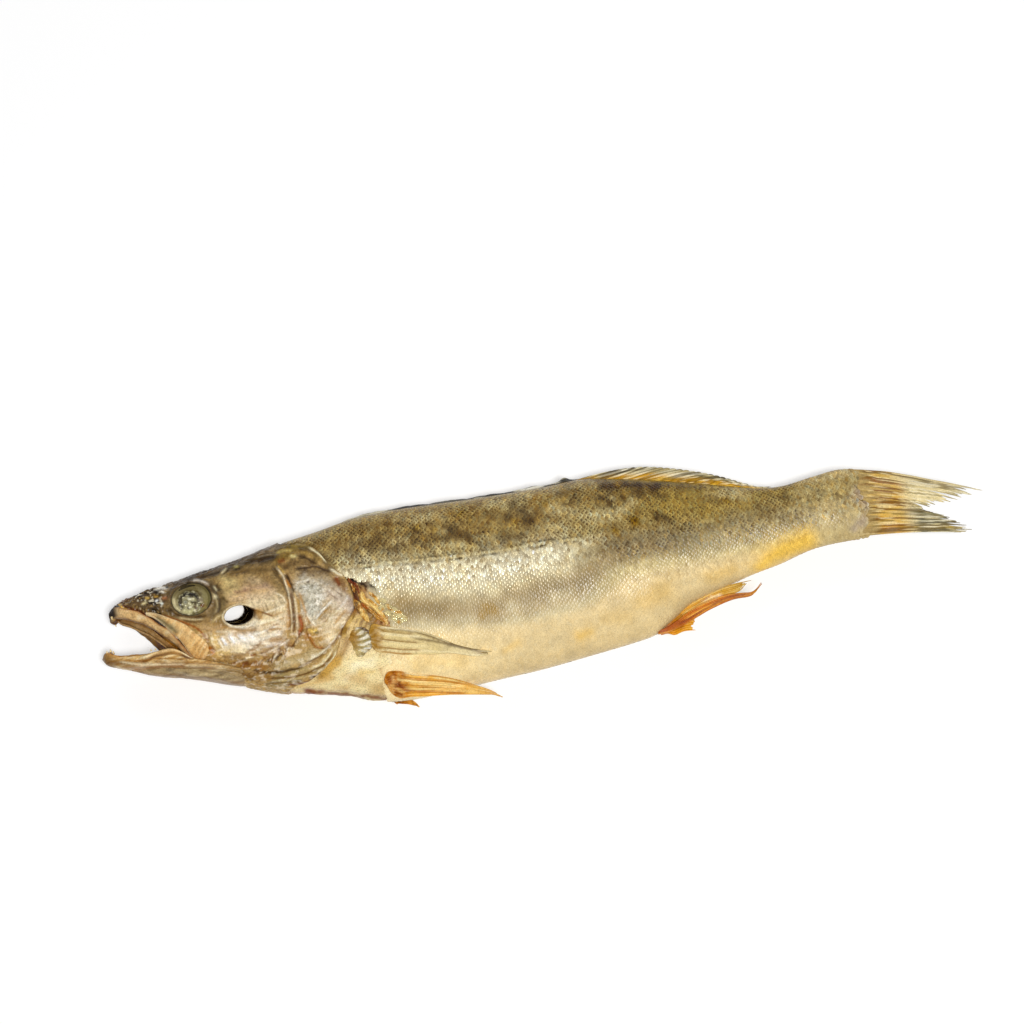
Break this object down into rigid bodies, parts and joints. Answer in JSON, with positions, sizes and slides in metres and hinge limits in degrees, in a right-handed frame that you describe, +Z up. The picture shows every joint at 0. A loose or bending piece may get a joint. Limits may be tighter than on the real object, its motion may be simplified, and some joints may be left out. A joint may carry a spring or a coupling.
{
  "type": "dried zander",
  "caption": "Whole gutted zander dried flat on its side, with its mouth open, fins folded back, a ragged forked tail and a hanging hole through the cheeks.",
  "frame": {"origin": "middle of the base of the fish's box, on the table it lies on", "axes": "+X along the fish from head to tail, +Y from belly to back, +Z up out of the fish's left side"},
  "size_m": [0.429, 0.1002, 0.0431],
  "materials": {
    "dried_skin": "dried scaly fish skin, olive brown back, silvery flank, cream belly, satin",
    "fins": "dried fin, translucent yellow to orange with dark rays",
    "head_bone": "dried skin over bone, cream and pinkish grey, half gloss",
    "teeth": "small ivory teeth, glossy",
    "eyes": "clouded dried eyeball, grey yellow with a dark ring"
  },
  "bodies": {
    "root": {"zander": "dried_skin"}
  },
  "joints": []
}
